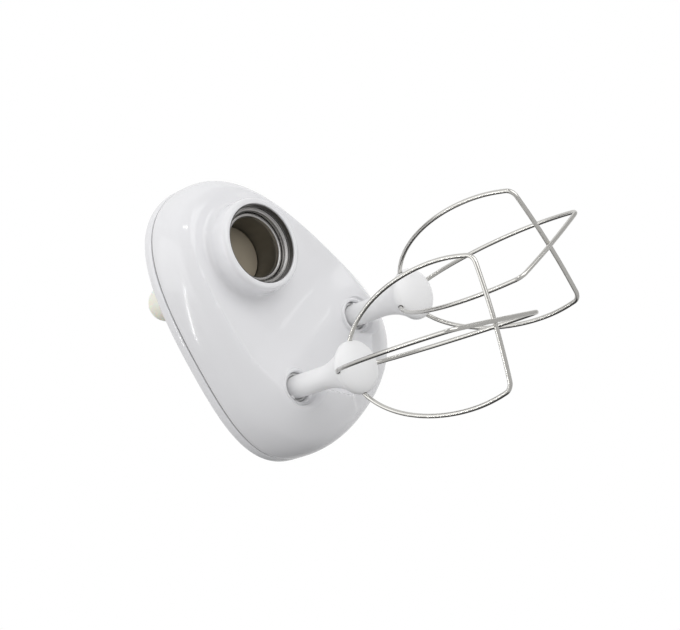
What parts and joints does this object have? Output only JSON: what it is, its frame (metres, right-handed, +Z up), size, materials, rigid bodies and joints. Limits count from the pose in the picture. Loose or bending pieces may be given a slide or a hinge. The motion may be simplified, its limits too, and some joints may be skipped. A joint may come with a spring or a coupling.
{
  "type": "twin-whisk stand mixer gear head",
  "caption": "White egg-shaped planetary gear head with a column socket, top grip knob and a pair of counter-turning wire whisks that pull out.",
  "frame": {"origin": "centre of the boss's mouth, where the mixer's column enters", "axes": "+Z up in use and along the column, away from the whisks; -Y from the boss to the whisks; whisk 1 at +X, whisk 2 at -X"},
  "size_m": [0.1404, 0.1678, 0.2497],
  "materials": {
    "white_shell": "smooth glossy white",
    "white_hub": "smooth satin white",
    "cream_knob": "slightly translucent cream",
    "seal_rubber": "matt dark grey",
    "bright_steel": "machined bright",
    "plate_steel": "zinc plated",
    "whisk_wire": "polished stainless wire",
    "dark_sleeve": "dark grey, satin",
    "tan_floor": "tan, satin",
    "acetal_gear": "natural acetal",
    "spindle_plastic": "light grey",
    "bronze_bush": "sintered bronze"
  },
  "bodies": {
    "housing": {"lower_housing": "white_shell", "upper_cover": "white_shell", "cover_seal": "seal_rubber", "knob": "cream_knob", "knob_washer": "bright_steel", "knob_screw": "bright_steel", "gear_plate": "plate_steel", "plate_screw_1": "bright_steel", "plate_screw_2": "bright_steel", "plate_screw_3": "bright_steel", "plate_screw_4": "bright_steel", "bearing_ring": "bright_steel", "mouth_liner": "bright_steel", "sleeve_top_bush": "spindle_plastic", "idler_a_axle": "bright_steel", "idler_b_axle": "bright_steel", "spindle_1_lower_bush": "bronze_bush", "spindle_1_upper_bush": "spindle_plastic", "spindle_1_seal": "seal_rubber", "spindle_2_lower_bush": "bronze_bush", "spindle_2_upper_bush": "spindle_plastic", "spindle_2_seal": "seal_rubber"},
    "sun": {"sun_gear": "acetal_gear", "drive_sleeve": "dark_sleeve", "sleeve_lip_ring": "bright_steel", "socket_floor": "tan_floor", "sleeve_circlip": "bright_steel"},
    "idler_a": {"idler_a_gear": "acetal_gear", "idler_a_bush": "bronze_bush"},
    "idler_b": {"idler_b_gear": "acetal_gear", "idler_b_bush": "bronze_bush"},
    "spindle_1": {"spindle_1": "spindle_plastic", "pinion_1": "acetal_gear", "spindle_1_washer": "bright_steel", "spindle_1_circlip": "bright_steel"},
    "spindle_2": {"spindle_2": "spindle_plastic", "pinion_2": "acetal_gear", "spindle_2_washer": "bright_steel", "spindle_2_circlip": "bright_steel"},
    "whisk_1": {"whisk_1_hub": "white_hub", "whisk_1_wire_a": "whisk_wire", "whisk_1_wire_b": "whisk_wire", "whisk_1_detent_ring": "seal_rubber"},
    "whisk_2": {"whisk_2_hub": "white_hub", "whisk_2_wire_a": "whisk_wire", "whisk_2_wire_b": "whisk_wire", "whisk_2_detent_ring": "seal_rubber"}
  },
  "joints": [
    {"name": "sun_spin", "type": "hinge", "parent": "housing", "child": "sun", "pos_m": [0, 0, 0.028], "axis": [0, 0, 1], "continuous": true},
    {"name": "idler_a_spin", "type": "hinge", "parent": "housing", "child": "idler_a", "pos_m": [0.01716, -0.04643, 0.028], "axis": [0, 0, 1], "continuous": true},
    {"name": "idler_b_spin", "type": "hinge", "parent": "housing", "child": "idler_b", "pos_m": [-0.0115, -0.05531, 0.028], "axis": [0, 0, 1], "continuous": true},
    {"name": "spindle_1_spin", "type": "hinge", "parent": "housing", "child": "spindle_1", "pos_m": [0.0336, -0.0733, 0.028], "axis": [0, 0, 1], "continuous": true},
    {"name": "spindle_2_spin", "type": "hinge", "parent": "housing", "child": "spindle_2", "pos_m": [-0.0336, -0.0733, 0.028], "axis": [0, 0, 1], "continuous": true},
    {"name": "whisk_1_pull", "type": "slide", "parent": "spindle_1", "child": "whisk_1", "axis": [0, 0, -1], "range_m": [0, 0.022]},
    {"name": "whisk_2_pull", "type": "slide", "parent": "spindle_2", "child": "whisk_2", "axis": [0, 0, -1], "range_m": [0, 0.022]}
  ],
  "couplings": [
    {"joint": "idler_a_spin", "follows": "sun_spin", "ratio": -2},
    {"joint": "idler_b_spin", "follows": "sun_spin", "ratio": 2.4444},
    {"joint": "spindle_1_spin", "follows": "sun_spin", "ratio": 2.2},
    {"joint": "spindle_2_spin", "follows": "sun_spin", "ratio": -2.2}
  ]
}
